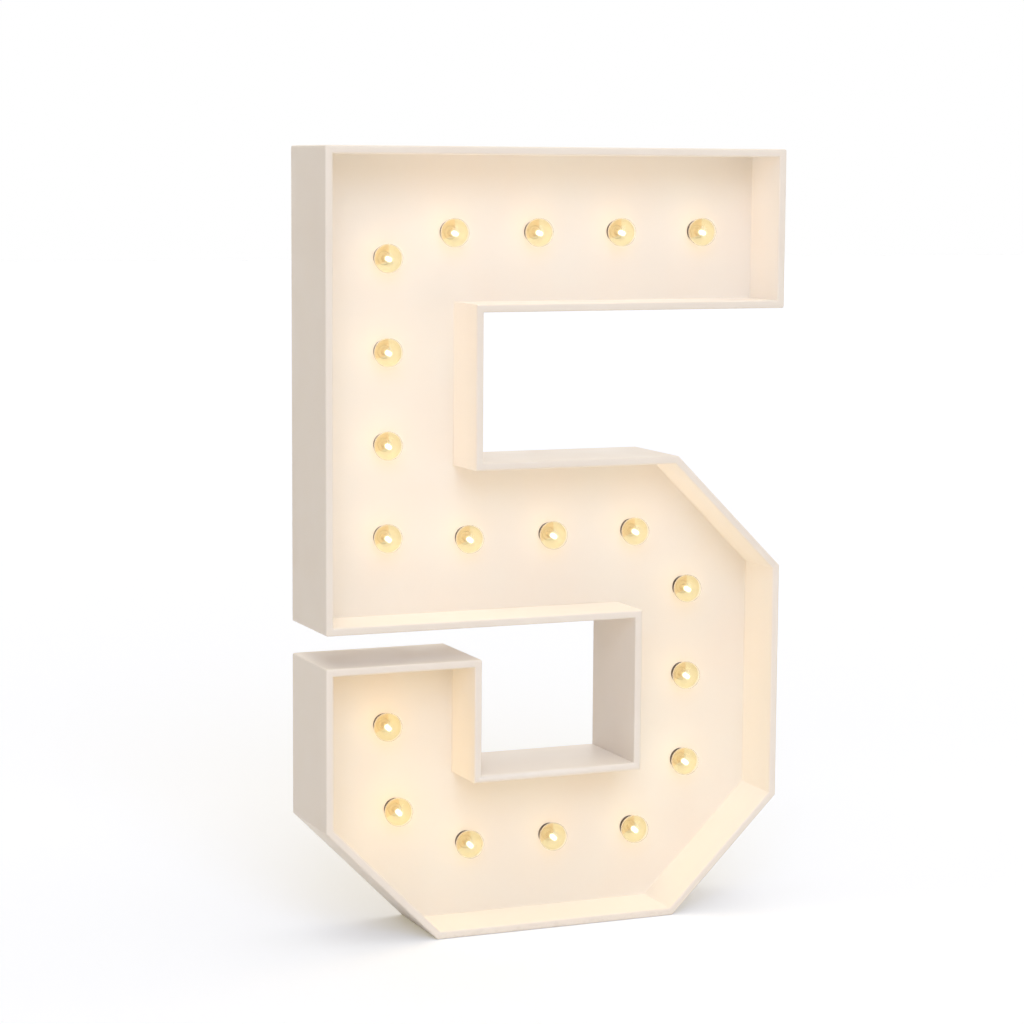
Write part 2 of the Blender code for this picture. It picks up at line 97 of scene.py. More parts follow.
class Nodes:
    """A node tree and the ways to add to it."""

    def __init__(self, tree: bpy.types.NodeTree) -> None:
        """Takes the tree to add to."""
        self.tree = tree

    def add(self, kind: str, **values: object) -> bpy.types.Node:
        """Adds a node and sets its inputs and properties.

        Args:
            kind: the node's type name.
            **values: properties of the node, or inputs by name with underscores for spaces.

        Returns:
            The new node.
        """
        node = self.tree.nodes.new(kind)
        for key, value in values.items():
            if hasattr(node, key):
                setattr(node, key, value)
            else:
                node.inputs[key.replace("_", " ")].default_value = value
        return node

    def link(self, source: Socket, target: Socket) -> None:
        """Joins an output to an input."""
        self.tree.links.new(source, target)

    def axis(self, kind: str, name: str) -> Socket:
        """One axis of the coordinates of a kind.

        Args:
            kind: the coordinates, such as Object.
            name: X, Y or Z.

        Returns:
            The output that gives it.
        """
        place = self.add("ShaderNodeTexCoord")
        parts = self.add("ShaderNodeSeparateXYZ")
        self.link(place.outputs[kind], parts.inputs["Vector"])
        return parts.outputs[name]

    def mapped(self, value: Socket, source: Range, target: Range = (0, 1), kind: str = "LINEAR") -> Socket:
        """Maps a value from one range to another and holds it at the ends.

        Args:
            value: the value.
            source: the range that it comes in.
            target: what the ends of that range become.
            kind: how it runs from one end to the other.

        Returns:
            The mapped value.
        """
        (low, high), (first, last) = source, target
        node = self.add(
            "ShaderNodeMapRange", interpolation_type=kind, From_Min=low, From_Max=high, To_Min=first, To_Max=last
        )
        self.link(value, node.inputs["Value"])
        return node.outputs["Result"]

    def combined(self, operation: str, first: Socket, second: Socket) -> Socket:
        """Two values joined by an operation, the result held between 0 and 1.

        Args:
            operation: the Math node's operation.
            first: a value.
            second: another value.

        Returns:
            The result.
        """
        node = self.add("ShaderNodeMath", operation=operation, use_clamp=True)
        self.link(first, node.inputs[0])
        self.link(second, node.inputs[1])
        return node.outputs[0]

    def blended(self, factor: Socket, first: Colour | Socket, second: Colour, kind: str = "MIX") -> Socket:
        """Mixes two colours.

        Args:
            factor: the share of the second colour.
            first: a colour, or an output that gives one.
            second: the other colour.
            kind: how they are mixed.

        Returns:
            The mixed colour.
        """
        mix = self.add("ShaderNodeMix", data_type="RGBA", blend_type=kind)
        self.link(factor, mix.inputs["Factor"])
        if isinstance(first, tuple):
            mix.inputs["A"].default_value = (*first, 1)
        else:
            self.link(first, mix.inputs["A"])
        mix.inputs["B"].default_value = (*second, 1)
        return mix.outputs["Result"]

    def either(self, factor: Socket, first: Socket, second: Socket) -> Socket:
        """Mixes two shaders.

        Args:
            factor: the share of the second shader.
            first: a shader.
            second: the other shader.

        Returns:
            The mixed shader.
        """
        mix = self.add("ShaderNodeMixShader")
        for source, target in zip((factor, first, second), mix.inputs):
            self.link(source, target)
        return mix.outputs["Shader"]

    def rays(self, kinds: Iterable[str]) -> Socket:
        """1 for rays of some kinds, and 0 for others.

        Args:
            kinds: the Light Path node's outputs for them.

        Returns:
            The output that tells them apart.
        """
        path = self.add("ShaderNodeLightPath")
        total, *others = (path.outputs[kind] for kind in kinds)
        for other in others:
            total = self.combined("ADD", total, other)
        return total


class Graph(Nodes):
    """The nodes of one new material, round the Principled shader that it starts with."""

    def __init__(self, name: str) -> None:
        """Makes a material that has only its shader.

        Args:
            name: the material's name.
        """
        self.material = bpy.data.materials.new(name)
        self.material.use_nodes = True
        super().__init__(self.material.node_tree)
        self.shader = self.tree.nodes["Principled BSDF"]
        self.output = self.tree.nodes["Material Output"]

    def set(self, **values: object) -> None:
        """Sets inputs of the shader by name, with underscores for spaces."""
        for key, value in values.items():
            self.shader.inputs[key.replace("_", " ")].default_value = value

    def feed(self, **sources: Socket) -> None:
        """Links outputs to inputs of the shader by name, with underscores for spaces."""
        for key, source in sources.items():
            self.link(source, self.shader.inputs[key.replace("_", " ")])

    def noise(self, size: float, detail: float, stretch: Place = (1, 1, 1)) -> Socket:
        """Noise laid on the piece's own coordinates.

        Args:
            size: about how large one patch is, in metres.
            detail: how many finer octaves are added.
            stretch: how much finer the pattern is along X, Y and Z.

        Returns:
            The noise's value, mostly in the usual range.
        """
        place = self.add("ShaderNodeTexCoord")
        mapping = self.add("ShaderNodeMapping", Scale=stretch)
        texture = self.add("ShaderNodeTexNoise", Scale=1 / size, Detail=detail)
        self.link(place.outputs["Object"], mapping.inputs["Vector"])
        self.link(mapping.outputs["Vector"], texture.inputs["Vector"])
        return texture.outputs["Fac"]

    def patches(self, size: float, detail: float, spread: Range = (0, 1)) -> Socket:
        """Noise whose usual range is spread over another one."""
        return self.mapped(self.noise(size, detail), USUAL_NOISE, spread)

    def relief(self, height: Socket, depth: float, under: Socket | None = None) -> Socket:
        """Gives the shader a relief.

        Args:
            height: the pattern, from 0 to 1.
            depth: how high the pattern stands, in metres.
            under: the relief that it lies on, or None.

        Returns:
            The relief, for another one to lie on.
        """
        bump = self.add("ShaderNodeBump", Strength=1.0, Distance=depth)
        self.link(height, bump.inputs["Height"])
        if under:
            self.link(under, bump.inputs["Normal"])
        self.feed(Normal=bump.outputs["Normal"])
        return bump.outputs["Normal"]


class Finish:
    """A finish whose material is made once, at its first use."""

    name: str

    def material(self) -> bpy.types.Material:
        """The finish's material.

        Returns:
            The material, new or from an earlier use.
        """
        made = bpy.data.materials.get(self.name)
        if made is None:
            graph = Graph(self.name)
            self.mix(graph)
            made = graph.material
        return made

    def mix(self, graph: Graph) -> None:
        """Lays out the nodes of the new material."""
        raise NotImplementedError


class PatchyFinish(Finish):
    """A finish whose roughness changes in patches."""

    roughness: float
    smoother: float
    duller: float

    def sheen(self, graph: Graph, size: float) -> Socket:
        """The roughness, in patches of a size that are smoother and duller than its usual value."""
        return graph.patches(size, 2, (self.roughness - self.smoother, self.roughness + self.duller))


@dataclass(frozen=True)
class RolledPaint(PatchyFinish):
    """Satin paint from a foam roller: clouds of tone, a fine stipple and scuffs where the case meets the floor."""

    name: str
    colour: Colour
    cloud: Colour
    roughness: float = 0.42
    smoother: float = 0.06
    duller: float = 0.06
    cloud_size: float = 0.16
    sheen_share: float = 1 / 3
    stipple_size: float = 0.0016
    stipple_depth: float = 0.00005
    wave_size: float = 0.035
    wave_depth: float = 0.00025
    scuff: Colour = (0.60, 0.53, 0.46)
    scuff_height: float = 0.012
    scuff_share: float = 0.3
    scuff_size: float = 0.012
    scuff_stretch: Place = (1, 1, 2.5)
    scuff_edge: Range = (0.52, 0.62)

    def mix(self, graph: Graph) -> None:
        """Lays out the paint.

        Args:
            graph: the nodes of the new material.
        """
        tone = graph.blended(graph.patches(self.cloud_size, 3), self.colour, self.cloud)
        graph.feed(
            Base_Color=graph.blended(self.scuffs(graph), tone, self.scuff),
            Roughness=self.sheen(graph, self.cloud_size * self.sheen_share),
        )
        waves = graph.relief(graph.noise(self.wave_size, 1), self.wave_depth)
        graph.relief(graph.noise(self.stipple_size, 2), self.stipple_depth, waves)

    def scuffs(self, graph: Graph) -> Socket:
        """The share of scuffed paint, which fades out above the floor.

        Args:
            graph: the nodes of the new material.

        Returns:
            The output that gives the share.
        """
        fade = graph.mapped(graph.axis("Object", "Z"), (0, self.scuff_height), (self.scuff_share, 0))
        spots = graph.mapped(graph.noise(self.scuff_size, 4, self.scuff_stretch), self.scuff_edge)
        return graph.combined("MULTIPLY", fade, spots)


@dataclass(frozen=True)
class GlobeGlass(Finish):
    """Thin clear glass with a faint warm painted glow: the glass emits light that stands in for the core's light
    scattered in it. Light from inside passes it straight, so that it reaches the face.
    """

    name: str = "globe_glass"
    tint: Colour = (0.955, 0.955, 0.92)
    light_tint: Colour = (1.0, 0.95, 0.87)
    # painted glow: colour and strength of the light that the glass itself emits
    painted_glow_colour: Colour = (1.0, 0.78, 0.45)
    painted_glow_strength: float = 0.03
    index: float = 1.25

    def mix(self, graph: Graph) -> None:
        """Lays out the glass.

        Args:
            graph: the nodes of the new material.
        """
        graph.set(
            Base_Color=(*self.tint, 1),
            Roughness=0.0,
            IOR=self.index,
            Transmission_Weight=1.0,
            Emission_Color=(*self.painted_glow_colour, 1),
            Emission_Strength=self.painted_glow_strength,
        )
        clear = graph.add("ShaderNodeBsdfTransparent", Color=(*self.light_tint, 1))
        glass = graph.either(graph.rays(RAYS_OF_LIGHT), graph.shader.outputs["BSDF"], clear.outputs["BSDF"])
        graph.link(glass, graph.output.inputs["Surface"])


@dataclass(frozen=True)
class HotCore(Finish):
    """The bulb's white-hot light source, yellower towards its outline."""

    name: str = "hot_core"
    hot: Colour = (1.0, 0.97, 0.88)
    rim: Colour = (1.0, 0.84, 0.52)
    rim_blend: float = 0.35
    strength: float = 3.0

    def mix(self, graph: Graph) -> None:
        """Lays out the glowing core.

        Args:
            graph: the nodes of the new material.
        """
        graph.set(Base_Color=(*self.hot, 1), Emission_Strength=self.strength)
        outline = graph.add("ShaderNodeLayerWeight", Blend=self.rim_blend)
        graph.feed(Emission_Color=graph.blended(outline.outputs["Facing"], self.hot, self.rim))


@dataclass(frozen=True)
class SoftGlow(Finish):
    """The glare round the core, which thins out to nothing at its outline."""

    name: str = "soft_glow"
    colour: Colour = (1.0, 0.90, 0.62)
    strength: float = 1.25
    density: float = 0.45
    fade: Range = (1.0, 0.1)

    def mix(self, graph: Graph) -> None:
        """Lays out the glare.

        Args:
            graph: the nodes of the new material.
        """
        outline = graph.add("ShaderNodeLayerWeight", Blend=0.5)
        graph.feed(Alpha=graph.mapped(outline.outputs["Facing"], self.fade, (0, self.density), "SMOOTHSTEP"))
        graph.set(
            Base_Color=(0, 0, 0, 1),
            Specular_IOR_Level=0.0,
            Emission_Color=(*self.colour, 1),
            Emission_Strength=self.strength,
        )


@dataclass(frozen=True)
class LiningWithPaintedLight(Finish):
    """Cream enamel inside the globe, with painted light on it: an amber sector opening to the upper left, painted
    where the camera sees the bulb's amber base through the glass, and a glow of its own.
    """

    name: str = "lining_with_painted_light"
    pale: Colour = (0.615, 0.565, 0.385)
    # amber of the painted sector: a painted view of the bulb's amber base, seen refracted through the glass
    amber: Colour = (0.60, 0.475, 0.26)
    # painted glow: the enamel emits its own tone, standing in for the core's light inside the globe
    glow: float = 0.14
    roughness: float = 0.5
    sector: Range = (93.0, 203.0)
    painted_sector_tip: Range = (0.0005, -0.0010)
    painted_sector_edge: float = 0.0012

    def mix(self, graph: Graph) -> None:
        """Lays out the enamel, with its painted amber sector on the lining's plane and its painted glow.

        Args:
            graph: the nodes of the new material.
        """
        first, last = self.sector
        share = graph.combined("MULTIPLY", self.side(graph, first + 90), self.side(graph, last - 90))
        tone = graph.blended(share, self.pale, self.amber)
        # painted light: the tone, painted amber sector included, is also emitted
        graph.feed(Base_Color=tone, Emission_Color=tone)
        graph.set(Emission_Strength=self.glow, Roughness=self.roughness)

    def side(self, graph: Graph, direction: float) -> Socket:
        """1 on the side of the sector's tip that a direction points to, 0 on the other side.

        Args:
            graph: the nodes of the new material.
            direction: the direction on the lining's plane, in degrees from its right towards its top.

        Returns:
            The output that gives the share.
        """
        towards = Vector((math.cos(math.radians(direction)), math.sin(math.radians(direction))))
        middle = towards.dot(Vector((0.5, 0.5)) + Vector(self.painted_sector_tip) / LINING_PLANE_SIDE)
        edge = self.painted_sector_edge / LINING_PLANE_SIDE
        place = graph.add("ShaderNodeUVMap", uv_map=LINING_PLANE)
        along = graph.add("ShaderNodeVectorMath", operation="DOT_PRODUCT")
        along.inputs[1].default_value = (*towards, 0)
        graph.link(place.outputs["UV"], along.inputs[0])
        return graph.mapped(along.outputs["Value"], (middle - edge, middle + edge), kind="SMOOTHSTEP")


@dataclass(frozen=True)
class Moulded(PatchyFinish):
    """Moulded plastic or rubber with a faint grain."""

    name: str
    colour: Colour
    roughness: float
    grain_depth: float = 0.00002
    grain_size: float = 0.0008
    wear_grains: float = 14
    wear_gain: float = 1.25
    wear_lift: float = 0.008
    sheen_grains: float = 6
    smoother: float = 0.05
    duller: float = 0.08

    def mix(self, graph: Graph) -> None:
        """Lays out the plastic.

        Args:
            graph: the nodes of the new material.
        """
        worn = tuple(min(1.0, channel * self.wear_gain + self.wear_lift) for channel in self.colour)
        graph.feed(
            Base_Color=graph.blended(graph.patches(self.grain_size * self.wear_grains, 3), self.colour, worn),
            Roughness=self.sheen(graph, self.grain_size * self.sheen_grains),
        )
        graph.relief(graph.noise(self.grain_size, 2), self.grain_depth)


@dataclass(frozen=True)
class Plated(PatchyFinish):
    """Plated or bare metal with fine turning marks and duller patches."""

    name: str
    colour: Colour
    roughness: float = 0.28
    smoother: float = 0.08
    duller: float = 0.12
    tarnish: float = 0.8
    patch_size: float = 0.004
    sheen_size: float = 0.002
    mark_size: float = 0.0012
    mark_stretch: Place = (1, 12, 1)
    mark_depth: float = 0.00002

    def mix(self, graph: Graph) -> None:
        """Lays out the metal.

        Args:
            graph: the nodes of the new material.
        """
        dull = tuple(channel * self.tarnish for channel in self.colour)
        graph.feed(
            Base_Color=graph.blended(graph.patches(self.patch_size, 3), self.colour, dull),
            Roughness=self.sheen(graph, self.sheen_size),
        )
        graph.set(Metallic=1.0)
        graph.relief(graph.noise(self.mark_size, 1, self.mark_stretch), self.mark_depth)


CASE_PAINT = RolledPaint("case_satin", (0.86, 0.79, 0.72), (0.845, 0.765, 0.69))
FACE_PAINT = RolledPaint("face_satin", (0.810, 0.760, 0.685), (0.815, 0.740, 0.656), roughness=0.5)
INNER_PAINT = RolledPaint("inner_satin", (0.820, 0.778, 0.728), (0.825, 0.768, 0.708), roughness=0.5)
COVER_PAINT = RolledPaint("cover_matt", (0.80, 0.74, 0.68), (0.76, 0.70, 0.64), roughness=0.6)
GLOBE_GLASS = GlobeGlass()
HOT_CORE = HotCore()
SOFT_GLOW = SoftGlow()
LINING_WITH_PAINTED_LIGHT = LiningWithPaintedLight()
CAP_NICKEL = Plated("cap_nickel", (0.72, 0.69, 0.64))
CAP_INSULATOR = Moulded("cap_insulator", (0.012, 0.012, 0.014), 0.15)
CONTACT_SOLDER = Plated("contact_solder", (0.62, 0.62, 0.60), roughness=0.4)
HOLDER_PLASTIC = Moulded("holder_brown", (0.070, 0.048, 0.033), 0.5)
SLEEVE_BRASS = Plated("sleeve_brass", (0.75, 0.60, 0.33))
CABLE_RUBBER = Moulded("cable_black", (0.022, 0.022, 0.022), 0.5)
INLET_PLASTIC = Moulded("inlet_black", (0.018, 0.018, 0.019), 0.38)
ROCKER_PLASTIC = Moulded("rocker_black", (0.028, 0.028, 0.030), 0.22, grain_depth=0.000005)
ROCKER_PRINT = Moulded("rocker_print", (0.80, 0.80, 0.78), 0.5)
SCREW_ZINC = Plated("screw_zinc", (0.66, 0.66, 0.68))


# Ways of working

def clear_bench() -> None:
    """Leaves nothing selected, in object mode."""
    if bpy.context.object and bpy.context.object.mode != "OBJECT":
        bpy.ops.object.mode_set(mode="OBJECT")
    bpy.ops.object.select_all(action="DESELECT")


def pick_up(piece: Piece) -> None:
    """Makes a piece the only selected one.

    Args:
        piece: the piece.
    """
    clear_bench()
    piece.select_set(True)
    bpy.context.view_layer.objects.active = piece


def open_mesh(piece: Piece, action: str = "SELECT") -> None:
    """Opens a piece in edit mode.

    Args:
        piece: the piece.
        action: SELECT to start with all of its mesh selected, DESELECT to start with none of it.
    """
    pick_up(piece)
    bpy.ops.object.mode_set(mode="EDIT")
    bpy.ops.mesh.select_all(action=action)


def close_mesh() -> None:
    """Turns all faces outwards and leaves edit mode."""
    bpy.ops.mesh.select_all(action="SELECT")
    bpy.ops.mesh.normals_make_consistent(inside=False)
    bpy.ops.object.mode_set(mode="OBJECT")


def settle(piece: Piece) -> None:
    """Puts a piece's place, turn and size into its mesh."""
    pick_up(piece)
    bpy.ops.object.transform_apply(location=True, rotation=True, scale=True)


def shade(piece: Piece, sharp_degrees: float) -> None:
    """Shades a piece smooth, apart from edges sharper than an angle."""
    pick_up(piece)
    bpy.ops.object.shade_smooth_by_angle(angle=math.radians(sharp_degrees))


def apply_modifier(piece: Piece, kind: str, **settings: object) -> None:
    """Adds a modifier and applies it.

    Args:
        piece: the piece to change.
        kind: the modifier's type.
        **settings: the modifier's properties.
    """
    pick_up(piece)
    modifier = piece.modifiers.new(kind.lower(), kind)
    for key, value in settings.items():
        setattr(modifier, key, value)
    bpy.ops.object.modifier_apply(modifier=modifier.name)


def cut(piece: Piece, tool: Piece) -> None:
    """Cuts a tool's shape out of a piece and takes the tool away."""
    apply_modifier(piece, "BOOLEAN", operation="DIFFERENCE", object=tool, solver="EXACT")
    bpy.data.objects.remove(tool)


def soften_edges(piece: Piece, width: float, sharpest: float = 60, steps: int = 2) -> None:
    """Bevels a piece's sharp edges.

    Args:
        piece: the piece to change.
        width: the bevel's width.
        sharpest: edges that turn by more than this many degrees are bevelled.
        steps: how many faces the bevel has.
    """
    angle = math.radians(sharpest)
    apply_modifier(piece, "BEVEL", width=width, segments=steps, limit_method="ANGLE", angle_limit=angle)


def placed(name: str, data: bpy.types.ID) -> Piece:
    """Puts a new object in the scene.

    Args:
        name: its name.
        data: its mesh, curve, light or camera.

    Returns:
        The object.
    """
    thing = bpy.data.objects.new(name, data)
    bpy.context.scene.collection.objects.link(thing)
    return thing


def evenly(start: float, end: float, steps: int) -> list[float]:
    """Numbers from a start to an end in equal steps."""
    return [start + (end - start) * step / steps for step in range(steps + 1)]


def arc(radius: float, middle: float, angles: Iterable[float]) -> list[Station]:
    """Stations on a ball whose middle lies on the Y axis, at angles from its front pole, in radians."""
    return [(radius * math.sin(angle), middle - radius * math.cos(angle)) for angle in angles]


def turn_piece(name: str, sides: int, stations: Iterable[Station], sharp_degrees: float = 35) -> Piece:
    """Turns a round piece about the Y axis: a disc is extruded and scaled from one station to the next.

    Args:
        name: the piece's name.
        sides: how many sides the circle has.
        stations: radius and place along Y of each ring, from the disc in one end to the disc in the other.
        sharp_degrees: edges that turn by more than this stay sharp.

    Returns:
        The piece, as a closed mesh.
    """
    clear_bench()
    (radius, along), *others = stations
    bpy.ops.mesh.primitive_circle_add(
        vertices=sides, radius=radius, fill_type="NGON", location=(0, along, 0), rotation=(RIGHT_ANGLE, 0, 0)
    )
    piece = bpy.context.object
    piece.name = piece.data.name = name
    open_mesh(piece)
    for next_radius, next_along in others:
        bpy.ops.mesh.extrude_region_move(TRANSFORM_OT_translate={"value": (0, next_along - along, 0)})
        share = next_radius / radius
        bpy.ops.transform.resize(value=(share, 1, share), center_override=(0, next_along, 0))
        radius, along = next_radius, next_along
    close_mesh()
    settle(piece)
    shade(piece, sharp_degrees)
    return piece


def press_thread(piece: Piece, span: Range, innermost: float, depth: float, phase: float = 0.0) -> None:
    """Presses a round thread into a barrel about the Y axis, as a helix that fades out at both ends.

    Args:
        piece: the piece, its rings close enough together to follow the thread.
        span: where the thread starts and ends along Y.
        innermost: what lies nearer to the axis stays as it is.
        depth: how far the thread reaches outwards, or inwards where it is negative.
        phase: the share of a turn by which the thread is shifted.
    """
    for vertex in piece.data.vertices:
        place = vertex.co
        radius = math.hypot(place.x, place.z)
        inside = min(place.y - span[0], span[1] - place.y)
        if inside <= 0 or radius < innermost:
            continue
        turns = place.y / THREAD_PITCH - math.atan2(place.z, place.x) / math.tau + phase
        wave = 0.5 - 0.5 * math.cos(math.tau * turns)
        share = 1 + depth * wave * min(1.0, inside / THREAD_PITCH) / radius
        place.x *= share
        place.z *= share


def block(name: str, centre: Vector, size: Iterable[float], softened: float = 0.0) -> Piece:
    """A block about a centre.

    Args:
        name: the piece's name.
        centre: the middle of the block.
        size: its width, depth and height.
        softened: width of the bevel on its edges, or 0.

    Returns:
        The block.
    """
    clear_bench()
    bpy.ops.mesh.primitive_cube_add(size=1, location=centre, scale=tuple(size))
    piece = bpy.context.object
    piece.name = piece.data.name = name
    settle(piece)
    if softened:
        soften_edges(piece, softened)
    shade(piece, 35)
    return piece


def copy_of_node(node: str, name: str) -> Piece:
    """A new piece with a CAD node's shape, its triangles joined into whole faces.

    Args:
        node: the CAD node's name.
        name: the piece's name.

    Returns:
        The piece, which stands for the node.
    """
    piece = placed(name, frame["nodes"][node].data.copy())
    piece.data.name = name
    piece.data.materials.clear()
    open_mesh(piece)
    bpy.ops.mesh.remove_doubles(threshold=MERGE_DISTANCE)
    bpy.ops.mesh.dissolve_limited(angle_limit=FLAT_ANGLE)
    close_mesh()
    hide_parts(node)
    return piece


def placed_copy(pattern: Piece, name: str, seat: Vector) -> Piece:
    """A copy of a pattern piece with its own mesh, moved to its seat.

    Args:
        pattern: the piece to copy, modelled about the origin.
        name: the copy's name.
        seat: where the pattern's origin goes.

    Returns:
        The copy.
    """
    mesh = pattern.data.copy()
    mesh.name = name
    mesh.transform(Matrix.Translation(seat))
    return placed(name, mesh)


def outline_of(piece: Piece, side: Vector) -> list[Vector]:
    """The corners of a panel's outer outline, in order, on one of its two sides.

    Args:
        piece: the panel, its flat faces whole.
        side: the direction that the side faces.

    Returns:
        The corners.
    """
    mesh = piece.data
    sides = {}
    for face in mesh.polygons:
        for edge in face.edge_keys:
            sides.setdefault(edge, []).append(face.normal.dot(side))
    following = {}
    for edge, (first, second) in sides.items():
        if max(first, second) > FACING and min(first, second) < SIDEWAYS:
            for start, end in (edge, edge[::-1]):
                following.setdefault(start, []).append(end)
    loops = []
    while following:
        loop = [next(iter(following))]
        while following.get(loop[-1]):
            ahead = following.pop(loop[-1])
            loop += [corner for corner in ahead if corner in following][:1]
        loops.append([mesh.vertices[corner].co.copy() for corner in loop])
    return max(loops, key=lambda loop: max(corner.z for corner in loop) - min(corner.z for corner in loop))


def paint_faces(piece: Piece, finishes: tuple[Finish, ...], choose: Callable[[Vector], Finish]) -> None:
    """Gives each face one of several finishes, by the place of its middle.

    Args:
        piece: the piece to paint.
        finishes: the finishes, in order.
        choose: gives a face's finish from its middle.
    """
    for finish in finishes:
        piece.data.materials.append(finish.material())
    for face in piece.data.polygons:
        face.material_index = finishes.index(choose(face.center))


def hand_over(piece: Piece, body: str, finish: Finish | None = None) -> None:
    """Finishes a piece: its material and the body that it rides on.

    Args:
        piece: the finished piece.
        body: the body's name.
        finish: its finish, or None where its faces are painted already.
    """
    if finish:
        piece.data.materials.clear()
        piece.data.materials.append(finish.material())
    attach(piece, body)
    LOG.info("%s rides on %s", piece.name, body)


# The case and its panels

@dataclass
class Case:
    """The boards of the case, mitred at the corners, their joints filled and painted over."""

    joint_filling: float = 0.00014
    board_thickness: float = 0.012
    end_sizes: Range = (0.9, 1.6)
    upright: float = 0.01
    inner_reach: float = 0.0008
    sharp_degrees: float = 40

    def build(self, face_outline: list[Vector]) -> None:
        """Dresses every board.

        Args:
            face_outline: the corners of the face panel, which the boards' inner faces lie along.
        """
        for node in frame["nodes"]:
            if node.startswith("wall_"):
                self.build_board(node, face_outline)

    def build_board(self, node: str, face_outline: list[Vector]) -> None:
        """Makes one board's piece from its solid, the inside painted paler than the outside.

        Args:
            node: the board's CAD node.
            face_outline: the corners of the face panel.
        """
        board = copy_of_node(node, node.replace("wall_", "board_"))
        for number in self.mitres(board):
            open_mesh(board, "DESELECT")
            bpy.ops.object.mode_set(mode="OBJECT")
            face = board.data.polygons[number]
            face.select = True
            shift = face.normal * self.joint_filling
            bpy.ops.object.mode_set(mode="EDIT")
            bpy.ops.transform.translate(value=shift)
            bpy.ops.object.mode_set(mode="OBJECT")
        shade(board, self.sharp_degrees)
        paint_faces(
            board,
            (CASE_PAINT, INNER_PAINT),
            lambda middle: INNER_PAINT if self.is_inside(middle, face_outline) else CASE_PAINT,
        )
        hand_over(board, Body.CASE.value)

    def is_inside(self, middle: Vector, face_outline: list[Vector]) -> bool:
        """Whether a face of a board lies against the edge of the face panel.

        Args:
            middle: the face's middle.
            face_outline: the corners of the face panel.

        Returns:
            True for a board's inner face.
        """
        for index, corner in enumerate(face_outline):
            start, end, point = (Vector((place.x, 0, place.z)) for place in (face_outline[index - 1], corner, middle))
            share = (point - start).dot(end - start) / (end - start).length_squared
            if 0 < share < 1 and (start.lerp(end, share) - point).length < self.inner_reach:
                return True
        return False

    def mitres(self, board: Piece) -> list[int]:
        """The faces at a board's two ends, told by their size.

        Args:
            board: the board's piece.

        Returns:
            Their numbers.
        """
        depths = [corner[1] for corner in board.bound_box]
        square_end = self.board_thickness * (max(depths) - min(depths))
        smallest, largest = (share * square_end for share in self.end_sizes)
        return [
            face.index for face in board.data.polygons
            if abs(face.normal.y) < self.upright and smallest < face.area < largest
        ]


@dataclass
class FacePanel:
    """The lit face that the lampholders stand in, sealed to the boards with a bead of filler."""

    sharp_degrees: float = 30
    bead_radius: float = 0.0011
    bead_steps: int = 2
    bead_sharp_degrees: float = 60

    def build(self) -> list[Vector]:
        """Dresses the panel and lays its bead.

        Returns:
            The corners of the panel's outline.
        """
        panel = copy_of_node("face_panel", "lit_face")
        corners = outline_of(panel, Vector((0, -1, 0)))
        shade(panel, self.sharp_degrees)
        hand_over(panel, Body.CASE.value, FACE_PAINT)
        hand_over(self.bead(corners), Body.CASE.value, FACE_PAINT)
        return corners

    def bead(self, corners: list[Vector]) -> Piece:
        """A thin round bead along the corner between the panel and the boards.

        Args:
            corners: the panel's outline.

        Returns:
            The bead, as a mesh.
        """
        line = bpy.data.curves.new("filler_bead", "CURVE")
        line.dimensions = "3D"
        line.bevel_depth = self.bead_radius
        line.bevel_resolution = self.bead_steps
        spline = line.splines.new("POLY")
        spline.points.add(len(corners) - 1)
        for point, corner in zip(spline.points, corners):
            point.co = (*corner, 1)
        spline.use_cyclic_u = True
        pick_up(placed("filler_bead", line))
        bpy.ops.object.convert(target="MESH")
        bead = bpy.context.object
        shade(bead, self.bead_sharp_degrees)
        return bead


# Bulbs and lampholders

